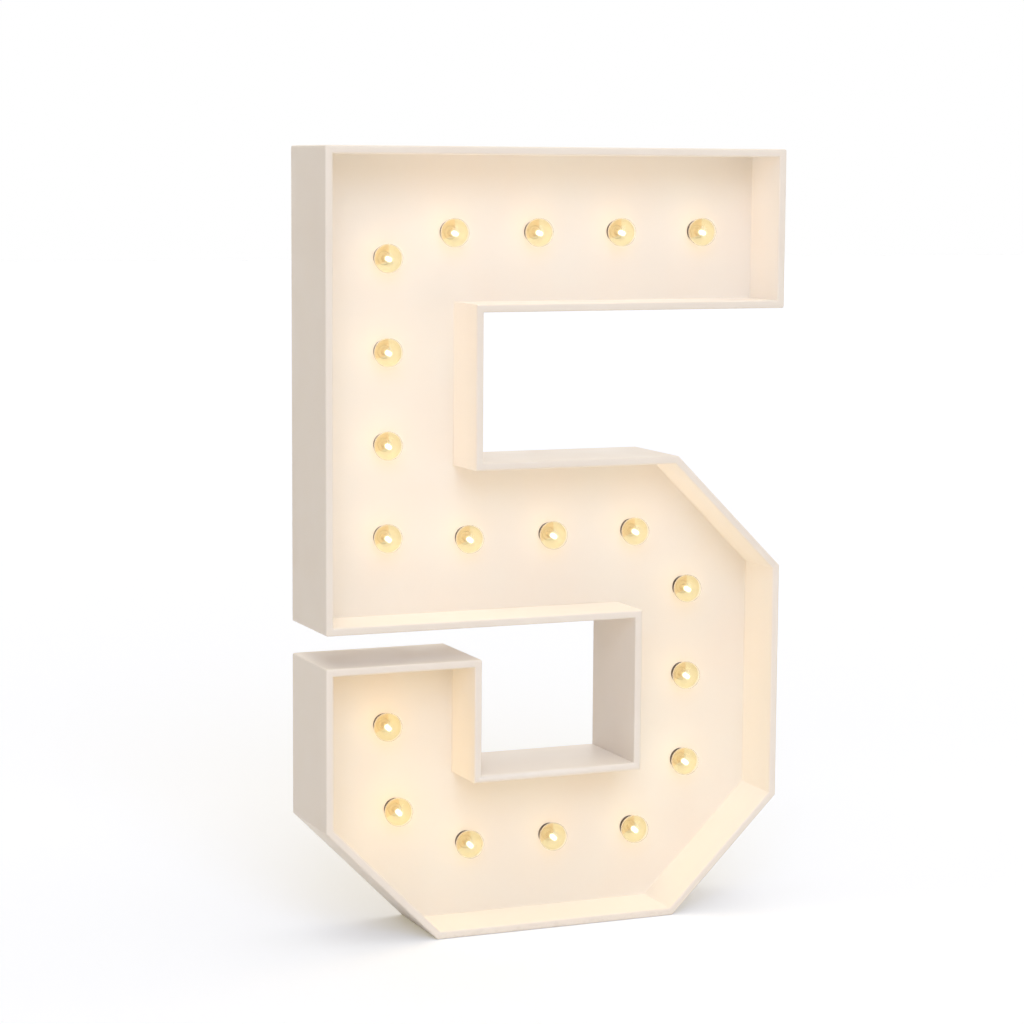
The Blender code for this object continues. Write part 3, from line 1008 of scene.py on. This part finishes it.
@dataclass
class Bulb:
    """A golf-ball bulb: glass globe with its lining, mount, glowing core and screw cap, turned about the Y axis.

    Places along Y are measured from the front of the face panel, and the globe lies in front of it, at minus Y.
    The disc that a flat end starts with has a share of the end's radius.
    """

    sides: int = 56
    sharp_degrees: float = 60
    globe_radius: float = 0.0224
    globe_middle: float = -0.02016
    globe_rings: int = 22
    glass: float = 0.0005
    neck_radius: float = 0.0121
    neck_end: float = 0.0030
    neck_flare: float = 1.06
    neck_bend: float = 0.0012
    neck_room: float = 0.0010
    mount_radius: float = 0.0104
    mount_front: float = -0.0008
    mount_edge: float = 0.0008
    mount_disc: float = 0.5
    pillar_radius: float = 0.0040
    pillar_front: float = -0.0120
    pillar_step: float = 0.0010
    pillar_ring: tuple[float, ...] = (0.0030, 0.0022, 0.0012, 0.0004)
    pillar_taper: tuple[Station, ...] = ((0.85, 0.0012), (0.75, 0.0003), (0.6, 0.0))
    lining_gap: float = 0.00010
    lining_wall: float = 0.0004
    lining_arc: Range = (34.0, 88.0)
    lining_rings: int = 14
    # the camera's azimuth and dip, which the plane of the painted amber sector faces
    painted_sector_facing: Range = (-22.7, 7.0)
    core_radius: float = 0.0035
    core_rear: float = -0.0120
    core_front: float = -0.0285
    core_droop: float = 7.0
    core_sides: int = 32
    core_rings: int = 9
    glow_radius: float = 0.0062
    glow_overhang: float = 0.0020
    cap_radius: float = 0.01285
    cap_front: float = -0.0014
    cap_rear: float = 0.0225
    cap_edge: float = 0.0002
    cap_disc: float = 0.6
    cap_rings: int = 40
    cap_sharp_degrees: float = 50
    thread_depth: float = 0.0008
    thread_start: float = 0.0020
    thread_end: float = 0.0190
    thread_runout: float = 0.0012
    shoulder_radius: float = 0.0095
    shoulder_edge: float = 0.0004
    shoulder_margin: float = 0.0003
    insulator_rear: float = 0.0262
    contact_radius: float = 0.0048
    contact_rear: float = 0.0284
    contact_edge: float = 0.0008
    contact_foot: float = 0.0006
    contact_disc: float = 0.7
    lamp_power: float = 0.18
    lamp_smoothing: float = 0.010
    glare_place: Place = (-0.010, -0.020, 0.010)
    glare_radius: float = 0.004
    throw_place: Place = (0.0, -0.0502, 0.0)
    throw_radius: float = 0.015
    lamp_tones: tuple[tuple[int, Colour, Colour], ...] = (
        (5, (0.575, 0.545, 0.470), (0.370, 0.350, 0.380)),
        (11, (0.500, 0.500, 0.450), (0.340, 0.275, 0.235)),
        (17, (0.345, 0.440, 0.440), (0.330, 0.190, 0.060)),
        (19, (0.580, 0.480, 0.300), (0.470, 0.335, 0.100)),
    )

    def build(self, seats: list[Vector]) -> None:
        """Models one bulb and puts a copy at every seat.

        Args:
            seats: where each bulb's axis meets the front of the face panel.
        """
        patterns = {
            "globe": (self.globe(), GLOBE_GLASS),
            # mount and lining take the lining finish with its painted amber sector and painted glow
            "mount": (self.mount(), LINING_WITH_PAINTED_LIGHT),
            "lining": (self.lining(), LINING_WITH_PAINTED_LIGHT),
            "core": (self.rod("core_pattern", self.core_radius, 0), HOT_CORE),
            "glow": (self.rod("glow_pattern", self.glow_radius, self.glow_overhang), SOFT_GLOW),
            "cap": (self.cap(), None),
        }
        for number, seat in enumerate(seats, 1):
            node = f"bulb_{number:02d}"
            for part, (pattern, finish) in patterns.items():
                piece = placed_copy(pattern, f"{node}_{part}", seat)
                if part == "globe":
                    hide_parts(node)
                if part in ("core", "glow", "lining"):
                    piece.visible_shadow = False
                if part == "lining":
                    piece.visible_diffuse = False
                hand_over(piece, node, finish)
            glare, throw = next(tones for last, *tones in self.lamp_tones if number <= last)
            self.light(node, "glare", seat + Vector(self.glare_place), glare, self.glare_radius)
            self.light(node, "throw", seat + Vector(self.throw_place), throw, self.throw_radius)
        for pattern, _ in patterns.values():
            bpy.data.objects.remove(pattern)

    def light(self, node: str, part: str, place: Vector, tone: Colour, radius: float) -> None:
        """Adds a part of the light that a bulb gives, evened out close to it.

        Args:
            node: the bulb's node and body.
            part: what the part is called.
            place: where it comes from.
            tone: its colour.
            radius: how large its source is.
        """
        light = bpy.data.lights.new(f"{node}_{part}", "POINT")
        light.energy = self.lamp_power
        light.color = tone
        light.shadow_soft_size = radius
        light.use_nodes = True
        nodes = Nodes(light.node_tree)
        falloff = nodes.add("ShaderNodeLightFalloff", Strength=1.0, Smooth=self.lamp_smoothing)
        nodes.link(falloff.outputs["Quadratic"], nodes.tree.nodes["Emission"].inputs["Strength"])
        lamp = placed(light.name, light)
        lamp.location = place
        lamp.visible_camera = lamp.visible_glossy = lamp.visible_transmission = False
        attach(lamp, node)

    def globe(self) -> Piece:
        """The glass, one closed shell with its inner and outer surfaces joined at the end of the neck.

        Returns:
            The globe's pattern.
        """
        inner = self.envelope(self.globe_radius - self.glass, self.neck_radius - self.glass)
        outer = self.envelope(self.globe_radius, self.neck_radius)
        return turn_piece("globe_pattern", self.sides, inner + outer[::-1], self.sharp_degrees)

    def envelope(self, radius: float, neck: float) -> list[Station]:
        """The stations of one surface of the glass, from its tip to the end of its neck.

        Args:
            radius: the radius of the ball.
            neck: the radius of the neck.

        Returns:
            Radius and place along Y of each ring.
        """
        neck_angle = math.pi - math.asin(neck * self.neck_flare / radius)
        ball = arc(radius, self.globe_middle, evenly(0, neck_angle, self.globe_rings)[1:])
        return ball + [(neck, ball[-1][1] + self.neck_bend), (neck, self.neck_end)]

    def mount(self) -> Piece:
        """The amber plate in the neck, with the pillar that carries the core.

        Returns:
            The plate and its pillar, as one pattern.
        """
        plate, pillar = self.mount_radius, self.pillar_radius
        front, groove = self.mount_front, self.mount_front + self.mount_edge
        stations = [
            (plate * self.mount_disc, self.neck_end),
            (plate, self.neck_end),
            (plate, groove),
            (plate - self.mount_edge, front),
        ]
        stations += [(pillar + ring, along) for ring, along in zip(self.pillar_ring, (front, groove, groove, front))]
        stations.append((pillar, front - self.pillar_step))
        stations += [(pillar * share, self.pillar_front + back) for share, back in self.pillar_taper]
        mount = turn_piece("mount_pattern", self.sides, stations)
        self.lay_plane(mount)
        return mount

    def lining(self) -> Piece:
        """The thin bowl that lines the rear half of the globe.

        Returns:
            The lining's pattern.
        """
        neck = self.mount_radius + CLEARANCE
        reach = self.globe_radius - self.glass - self.lining_gap
        inner = self.bowl(neck, reach - self.lining_wall)
        outer = self.bowl(neck + self.lining_wall, reach)
        lining = self.ring("lining_pattern", inner + outer[::-1])
        self.lay_plane(lining)
        return lining

    def bowl(self, neck: float, radius: float) -> list[Station]:
        """The stations of one side of the lining.

        Args:
            neck: its radius inside the neck.
            radius: its radius about the globe's middle.

        Returns:
            Radius and place along Y of each ring, from the neck's end to the bowl's edge.
        """
        angles = (math.pi - math.radians(angle) for angle in evenly(*self.lining_arc, self.lining_rings))
        return [(neck, self.neck_end), (neck, self.mount_front)] + arc(radius, self.globe_middle, angles)

    def ring(self, name: str, stations: list[Station]) -> Piece:
        """Turns a closed profile about the Y axis.

        Args:
            name: the piece's name.
            stations: the profile's corners, radius and place along Y.

        Returns:
            The piece, a closed ring.
        """
        ring = turn_piece(name, self.sides, stations, self.sharp_degrees)
        open_mesh(ring, "DESELECT")
        bpy.ops.mesh.select_face_by_sides(number=self.sides, type="EQUAL")
        bpy.ops.mesh.bridge_edge_loops()
        close_mesh()
        shade(ring, self.sharp_degrees)
        return ring

    def lay_plane(self, piece: Piece) -> None:
        """Gives a pattern a UV map on a plane that faces the camera, the globe's middle in the map's own, for laying
        out the painted amber sector.

        Args:
            piece: the pattern.
        """
        azimuth, elevation = (math.radians(angle) for angle in self.painted_sector_facing)
        turn = Matrix.Rotation(azimuth, 3, "Z") @ Matrix.Rotation(-elevation, 3, "X")
        layer = piece.data.uv_layers.active or piece.data.uv_layers.new()
        layer.name = LINING_PLANE
        right, up = turn.col[0], turn.col[2]
        for loop in piece.data.loops:
            place = piece.data.vertices[loop.vertex_index].co - Vector((0, self.globe_middle, 0))
            layer.data[loop.index].uv = [0.5 + place.dot(axis) / LINING_PLANE_SIDE for axis in (right, up)]

    def rod(self, name: str, radius: float, overhang: float) -> Piece:
        """A rod along the core, round at both ends, that droops about the core's foot.

        Args:
            name: the piece's name.
            radius: its radius.
            overhang: how far it reaches past the core's ends.

        Returns:
            The piece.
        """
        quarter = evenly(0, RIGHT_ANGLE, self.core_rings)[1:]
        front = arc(radius, self.core_front - overhang + radius, quarter)
        rear = arc(radius, self.core_rear + overhang - radius, (math.pi - angle for angle in quarter[::-1]))
        rod = turn_piece(name, self.core_sides, front + rear, self.sharp_degrees)
        foot = Matrix.Translation((0, self.core_rear, 0))
        rod.data.transform(foot @ Matrix.Rotation(math.radians(self.core_droop), 4, "X") @ foot.inverted())
        return rod

    def cap(self) -> Piece:
        """The screw cap with its insulator and contact.

        Returns:
            The cap's pattern, its faces painted.
        """
        radius, edge = self.cap_radius, self.cap_edge
        bottom = self.neck_end + self.neck_room
        stations = [
            (self.neck_radius * self.cap_disc, bottom),
            (self.neck_radius + edge, bottom),
            (self.neck_radius + edge, self.cap_front),
            (radius - edge, self.cap_front),
            (radius, self.cap_front + edge),
        ]
        stations += [(radius, along) for along in evenly(self.thread_start, self.thread_end, self.cap_rings)]
        stations += [
            (radius - self.thread_depth, self.thread_end + self.thread_runout),
            (self.shoulder_radius, self.cap_rear),
            (self.shoulder_radius - self.shoulder_edge, self.cap_rear),
            (self.contact_radius + self.contact_foot, self.insulator_rear),
            (self.contact_radius, self.insulator_rear),
            (self.contact_radius, self.contact_rear - self.contact_edge),
            (self.contact_radius * self.contact_disc, self.contact_rear),
        ]
        cap = turn_piece("cap_pattern", self.sides, stations, self.cap_sharp_degrees)
        innermost = radius - self.thread_depth / 2
        press_thread(cap, (self.thread_start, self.thread_end), innermost, -self.thread_depth)
        paint_faces(cap, (CAP_NICKEL, CAP_INSULATOR, CONTACT_SOLDER), self.cap_finish)
        return cap

    def cap_finish(self, middle: Vector) -> Finish:
        """The finish of a face of the cap.

        Args:
            middle: the face's middle.

        Returns:
            Nickel for the barrel, solder for the contact and plastic for the insulator between them.
        """
        radius = math.hypot(middle.x, middle.z)
        if middle.y < self.cap_rear + CLEARANCE or radius > self.shoulder_radius - self.shoulder_margin:
            return CAP_NICKEL
        return CONTACT_SOLDER if middle.y >= self.insulator_rear - CLEARANCE else CAP_INSULATOR


@dataclass
class Lampholder:
    """A moulded lampholder through the face: a lip with a drip edge, a threaded sleeve and a contact inside."""

    sides: int = 56
    sharp_degrees: float = 30
    bore_radius: float = 0.0133
    bore_edge: float = 0.0005
    lip_radius: float = 0.0174
    lip_edge: float = 0.0006
    lip_corner: float = 0.0002
    lip_front: float = -0.0016
    lip_rear: float = -0.0001
    drip_edge: float = 0.0009
    skirt_radius: float = 0.0163
    shoulder_front: float = 0.0094
    shoulder_radius: float = 0.0194
    shoulder_edge: float = 0.0006
    floor: float = 0.0288
    back_radius: float = 0.0162
    back: float = 0.0342
    back_edge: float = 0.0008
    end_disc: float = 0.5
    sleeve_front: float = 0.0020
    sleeve_wall: float = 0.0005
    sleeve_room: float = 0.0004
    sleeve_floor: float = 0.0002
    sleeve_rings: int = 44
    sleeve_sharp_degrees: float = 50
    groove_depth: float = 0.0006
    groove_room: float = 0.002
    contact_radius: float = 0.0040
    contact_height: float = 0.00015
    contact_sides: int = 32
    contact_room: float = 0.0006
    contact_disc: float = 0.6

    def build(self, seats: list[Vector]) -> None:
        """Models one lampholder and puts a copy at every seat.

        Args:
            seats: where each lampholder's axis meets the front of the face panel.
        """
        patterns = {
            "holder": (self.holder(), HOLDER_PLASTIC),
            "sleeve": (self.sleeve(), SLEEVE_BRASS),
            "contact": (self.contact(), SLEEVE_BRASS),
        }
        for number, seat in enumerate(seats, 1):
            for part, (pattern, finish) in patterns.items():
                piece = placed_copy(pattern, f"holder_{number:02d}_{part}", seat)
                if part == "holder":
                    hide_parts(f"lampholder_{number:02d}")
                hand_over(piece, Body.CASE.value, finish)
        for pattern, _ in patterns.values():
            bpy.data.objects.remove(pattern)

    def holder(self) -> Piece:
        """The moulded body, a closed cup whose lip is a little lower at the bottom than at the top.

        Returns:
            The body's pattern.
        """
        bore, lip, shoulder, back = self.bore_radius, self.lip_radius, self.shoulder_radius, self.back_radius
        sleeve_seat = bore + self.groove_depth + self.sleeve_wall + CLEARANCE
        stations = [
            (bore * self.end_disc, self.floor),
            (sleeve_seat, self.floor),
            (sleeve_seat, self.sleeve_front - CLEARANCE),
            (bore, self.sleeve_front - CLEARANCE),
            (bore, self.lip_front + self.bore_edge),
            (bore + self.bore_edge, self.lip_front),
            (lip - self.lip_edge, self.lip_front),
            (lip - self.lip_corner, self.lip_front + self.lip_corner),
            (lip, self.lip_front + self.lip_edge),
            (lip, self.lip_rear),
            (self.skirt_radius, self.lip_rear),
            (self.skirt_radius, self.shoulder_front),
            (shoulder - self.shoulder_edge, self.shoulder_front),
            (shoulder, self.shoulder_front + self.shoulder_edge),
            (shoulder, self.floor),
            (back, self.back - self.back_edge),
            (back - self.back_edge, self.back),
            (back * self.end_disc, self.back),
        ]
        holder = turn_piece("holder_pattern", self.sides, stations, self.sharp_degrees)
        for vertex in holder.data.vertices:
            place = vertex.co
            on_lip = place.y < self.lip_rear + MERGE_DISTANCE
            if on_lip and math.hypot(place.x, place.z) > self.skirt_radius + CLEARANCE:
                place.z += self.drip_edge
        return holder

    def sleeve(self) -> Piece:
        """The brass sleeve, its thread grooved outwards so that it clears the bulb's cap.

        Returns:
            The sleeve's pattern.
        """
        bore, end = self.bore_radius, self.floor - self.sleeve_room
        rear, disc = end + self.sleeve_floor, bore * self.end_disc
        inner = [(bore, along) for along in evenly(self.sleeve_front, end, self.sleeve_rings)]
        outer = [(radius + self.sleeve_wall, along) for radius, along in inner]
        outer[-1] = (outer[-1][0], rear)
        stations = [(disc, end)] + inner[::-1] + outer + [(disc, rear)]
        sleeve = turn_piece("sleeve_pattern", self.sides, stations, self.sleeve_sharp_degrees)
        span = (self.sleeve_front, self.floor - self.groove_room)
        press_thread(sleeve, span, bore - CLEARANCE, self.groove_depth, 0.5)
        return sleeve

    def contact(self) -> Piece:
        """The round centre contact on the sleeve's floor.

        Returns:
            The contact's pattern.
        """
        radius, base = self.contact_radius, self.floor - self.contact_room
        top = base - self.contact_height
        stations = [(radius, base), (radius, top), (radius * self.contact_disc, top)]
        return turn_piece("contact_pattern", self.contact_sides, stations)


def bulb_seats() -> list[Vector]:
    """Where each bulb's axis meets the front of the face panel.

    Returns:
        The places, in the bulbs' order.
    """
    face_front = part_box("face_panel")[0].y
    seats = []
    for number in range(1, BULB_COUNT + 1):
        low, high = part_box(f"bulb_{number:02d}")
        seats.append(Vector(((low.x + high.x) / 2, face_front, (low.z + high.z) / 2)))
    return seats


# Pieces at the back

@dataclass
class RearCover:
    """The board that closes the back, held by pan-head screws."""

    edge_softening: float = 0.0004
    sharp_degrees: float = 40
    screw_radius: float = 0.0038
    screw_height: float = 0.0022
    screw_sides: int = 28
    screw_disc: float = 0.5
    screw_profile: tuple[Station, ...] = ((1, 0.45), (0.93, 0.7), (0.75, 0.9), (0.45, 1))
    screw_sharp_degrees: float = 50
    screw_spacing: float = 0.135
    edge_distance: float = 0.014
    recess_width: float = 0.0009
    recess_length: float = 0.0040
    recess_depth: float = 0.0012

    def build(self) -> None:
        """Dresses the cover and sets its screws."""
        cover = copy_of_node("rear_cover", "back_board")
        seats = self.screw_seats(outline_of(cover, Vector((0, 1, 0))))
        soften_edges(cover, self.edge_softening)
        shade(cover, self.sharp_degrees)
        hand_over(cover, Body.CASE.value, COVER_PAINT)
        head = self.screw_head()
        for number, seat in enumerate(seats, 1):
            screw = placed_copy(head, f"cover_screw_{number:02d}", seat)
            hand_over(screw, Body.CASE.value, SCREW_ZINC)
        bpy.data.objects.remove(head)

    def screw_seats(self, corners: list[Vector]) -> list[Vector]:
        """Places along the inside of the cover's outline, spaced evenly between its corners.

        Args:
            corners: the outline's corners.

        Returns:
            Points on the cover's outer face.
        """
        inset = self.inward(corners) * self.edge_distance * 2
        line = []
        for index, corner in enumerate(corners):
            arriving = (corner - corners[index - 1]).normalized()
            leaving = (corners[(index + 1) % len(corners)] - corner).normalized()
            sideways = (arriving + leaving).cross(Vector((0, 1, 0)))
            line.append(corner + sideways * inset / sideways.length_squared)
        seats = []
        for index, corner in enumerate(line):
            following = line[(index + 1) % len(line)]
            count = max(1, round((following - corner).length / self.screw_spacing))
            seats += [corner.lerp(following, (step + 0.5) / count) for step in range(count)]
        return seats

    def inward(self, corners: list[Vector]) -> int:
        """1 or -1, by which way round the outline runs.

        Args:
            corners: the outline's corners.

        Returns:
            The sign that turns the outline's sideways direction inwards.
        """
        pairs = zip(corners, corners[-1:] + corners)
        area = sum(corner.x * before.z - corner.z * before.x for corner, before in pairs)
        return -1 if area > 0 else 1

    def screw_head(self) -> Piece:
        """A pan head with a cross recess, standing on the cover.

        Returns:
            The head's pattern.
        """
        stations = [(self.screw_radius * self.screw_disc, CLEARANCE), (self.screw_radius, CLEARANCE)]
        stations += [(self.screw_radius * out, self.screw_height * up) for out, up in self.screw_profile]
        head = turn_piece("screw_pattern", self.screw_sides, stations, self.screw_sharp_degrees)
        deep = self.recess_depth * 2
        for size in ((self.recess_length, deep, self.recess_width), (self.recess_width, deep, self.recess_length)):
            cut(head, block("recess", Vector((0, self.screw_height, 0)), size))
        shade(head, self.sharp_degrees)
        return head


@dataclass
class MainsInlet:
    """The switched mains inlet: black housing with three metal pins in its socket."""

    edge_softening: float = 0.0003
    sharp_degrees: float = 40
    wall_margin: float = 0.0012
    pin_reach: float = 0.0085

    def build(self) -> None:
        """Dresses the inlet."""
        inlet = copy_of_node("mains_inlet", "inlet_housing")
        soften_edges(inlet, self.edge_softening)
        shade(inlet, self.sharp_degrees)
        paint_faces(inlet, (INLET_PLASTIC, CAP_NICKEL), self.inlet_finish)
        hand_over(inlet, Body.CASE.value)

    def inlet_finish(self, middle: Vector) -> Finish:
        """The finish of a face of the inlet.

        Args:
            middle: the face's middle.

        Returns:
            Metal for the pins' faces, which lie inside the socket and clear of its floor, and plastic for the rest.
        """
        openings = frame["record"]["physics"]["openings"]
        low, high = next(opening["box_m"] for opening in openings if opening["name"] == "mains_socket")
        margin = self.wall_margin
        is_pin = (
            low[0] + margin < middle.x < high[0] - margin
            and low[1] - self.pin_reach < middle.y < high[1]
            and low[2] + margin < middle.z < high[2]
        )
        return CAP_NICKEL if is_pin else INLET_PLASTIC


@dataclass
class PowerRocker:
    """The rocker of the switch, with a bar and a ring printed proud on its two halves."""

    edge_softening: float = 0.0004
    softened_degrees: float = 50
    sharp_degrees: float = 40
    print_height: float = 0.00012
    print_softening: float = 0.4
    bar_width: float = 0.0007
    bar_length: float = 0.0036
    ring_radius: float = 0.0017
    ring_line: float = 0.0006
    ring_sides: int = 32
    hole_reach: float = 0.001
    facing: float = 0.5

    def build(self) -> None:
        """Dresses the rocker and prints its marks."""
        rocker = copy_of_node("power_rocker", "switch_rocker")
        outwards = [face for face in rocker.data.polygons if face.normal.y > self.facing]
        facets = sorted(outwards, key=lambda face: -face.area)[:2]
        places = sorted(((face.center.copy(), face.normal.copy()) for face in facets), key=lambda item: item[0].z)
        soften_edges(rocker, self.edge_softening, self.softened_degrees)
        shade(rocker, self.sharp_degrees)
        hand_over(rocker, Body.ROCKER.value, ROCKER_PLASTIC)
        for piece, (middle, normal) in zip((self.ring(), self.bar()), places):
            tilt = math.atan2(normal.z, normal.y)
            piece.data.transform(Matrix.Translation(middle) @ Matrix.Rotation(tilt, 4, "X"))
            hand_over(piece, Body.ROCKER.value, ROCKER_PRINT)

    def bar(self) -> Piece:
        """The bar that marks the half for on."""
        size = (self.bar_width, self.print_height * 2, self.bar_length)
        return block("rocker_bar", Vector((0, 0, 0)), size, self.print_height * self.print_softening)

    def ring(self) -> Piece:
        """The ring that marks the half for off.

        Returns:
            The ring, about the origin.
        """
        outer, inner = self.ring_radius, self.ring_radius - self.ring_line
        ring = turn_piece("rocker_ring", self.ring_sides, [(outer, -self.print_height), (outer, self.print_height)])
        cut(ring, turn_piece("ring_hole", self.ring_sides, [(inner, -self.hole_reach), (inner, self.hole_reach)]))
        shade(ring, self.sharp_degrees)
        return ring


@dataclass
class WiringHarness:
    """The cable behind the lampholders, as the solid model routes it."""

    sharp_degrees: float = 60

    def build(self) -> None:
        """Dresses the cable."""
        cable = copy_of_node("wiring_harness", "harness_cable")
        shade(cable, self.sharp_degrees)
        hand_over(cable, Body.CASE.value, CABLE_RUBBER)


# Studio

@dataclass(frozen=True)
class SoftSun:
    """A broad soft light without falloff, as from a large screen far away."""

    name: str
    azimuth: float
    elevation: float
    strength: float
    spread: float
    colour: Colour

    def build(self) -> None:
        """Adds the light, which shines from its azimuth, 0 in front and negative on the left."""
        light = bpy.data.lights.new(self.name, "SUN")
        light.energy = self.strength * math.pi
        light.angle = math.radians(self.spread)
        light.color = self.colour
        lamp = placed(self.name, light)
        lamp.rotation_euler = (RIGHT_ANGLE - math.radians(self.elevation), 0, math.radians(self.azimuth))


@dataclass
class Studio:
    """Camera, lights, white surroundings and a pale floor that keeps the shadow."""

    camera_place: Place = (-1.7414, -4.0427, 1.1901)
    camera_turn: float = 22.72
    camera_dip: float = 6.995
    camera_roll: float = 0.371
    lens: float = 99.0
    sensor: float = 36.0
    floor_side: float = 60.0
    floor_roughness: float = 0.9
    floor_colour: Colour = (0.80, 0.80, 0.80)
    floor_shown: Colour = (0.650, 0.722, 0.930)
    floor_lift: Colour = (0.285, 0.247, 0.146)
    surround_left: Colour = (0.004, 0.004, 0.003)
    surround_right: Colour = (0.400, 0.350, 0.290)
    surround_back: Colour = (0.200, 0.180, 0.155)
    suns: tuple[SoftSun, ...] = (
        SoftSun("key_screen", -14, 33, 0.362, 40, (0.470, 0.700, 1.0)),
        SoftSun("front_screen", -22, 4, 0.355, 80, (1.0, 0.755, 0.560)),
        SoftSun("top_screen", 0, 84, 0.51, 65, (1.0, 0.920, 0.740)),
        SoftSun("rear_screen", 165, 25, 0.165, 80, (1.0, 0.940, 0.850)),
    )

    def build(self) -> None:
        """Sets up everything round the object."""
        bpy.context.scene.view_settings.view_transform = "Standard"
        self.add_camera()
        self.add_world()
        self.add_floor()
        for sun in self.suns:
            sun.build()

    def add_camera(self) -> None:
        """Sets the camera at the photograph's viewing angle."""
        data = bpy.data.cameras.new("camera")
        data.lens = self.lens
        data.sensor_width = self.sensor
        camera = placed("camera", data)
        camera.location = self.camera_place
        turn = (
            Matrix.Rotation(-math.radians(self.camera_turn), 3, "Z")
            @ Matrix.Rotation(RIGHT_ANGLE - math.radians(self.camera_dip), 3, "X")
            @ Matrix.Rotation(math.radians(self.camera_roll), 3, "Z")
        )
        camera.rotation_euler = turn.to_euler()
        bpy.context.scene.camera = camera

    def add_world(self) -> None:
        """Adds a surround, warm on the right and behind, that the camera, glass and gloss see as white."""
        world = bpy.data.worlds.new("surround")
        bpy.context.scene.world = world
        world.use_nodes = True
        nodes = Nodes(world.node_tree)
        sides = nodes.mapped(nodes.axis("Generated", "X"), (-1, 1))
        depth = nodes.mapped(nodes.axis("Generated", "Y"), (-1, 1))
        tone = nodes.blended(sides, self.surround_left, self.surround_right)
        tone = nodes.blended(depth, tone, self.surround_back, "ADD")
        ambient = nodes.tree.nodes["Background"]
        ambient.inputs["Strength"].default_value = 1.0
        nodes.link(tone, ambient.inputs["Color"])
        white = nodes.add("ShaderNodeBackground", Color=(1, 1, 1, 1), Strength=1.0)
        surround = nodes.either(nodes.rays(RAYS_SEEN), ambient.outputs["Background"], white.outputs["Background"])
        nodes.link(surround, nodes.tree.nodes["World Output"].inputs["Surface"])

    def add_floor(self) -> None:
        """Adds a seamless floor, balanced and lifted so that the camera sees it white where no shadow falls."""
        clear_bench()
        bpy.ops.mesh.primitive_plane_add(size=self.floor_side)
        floor = bpy.context.object
        floor.name = "floor"
        graph = Graph("floor_white")
        graph.set(Roughness=self.floor_roughness, Emission_Color=(*self.floor_lift, 1))
        seen = graph.rays(RAYS_SEEN)
        graph.feed(Base_Color=graph.blended(seen, self.floor_colour, self.floor_shown), Emission_Strength=seen)
        floor.data.materials.append(graph.material)


def main() -> None:
    """Builds the number and its studio."""
    logging.basicConfig(level=logging.INFO, format="%(message)s")
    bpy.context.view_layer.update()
    Studio().build()
    face_outline = FacePanel().build()
    Case().build(face_outline)
    seats = bulb_seats()
    Lampholder().build(seats)
    Bulb().build(seats)
    WiringHarness().build()
    RearCover().build()
    MainsInlet().build()
    PowerRocker().build()


if __name__ == "__main__":
    main()
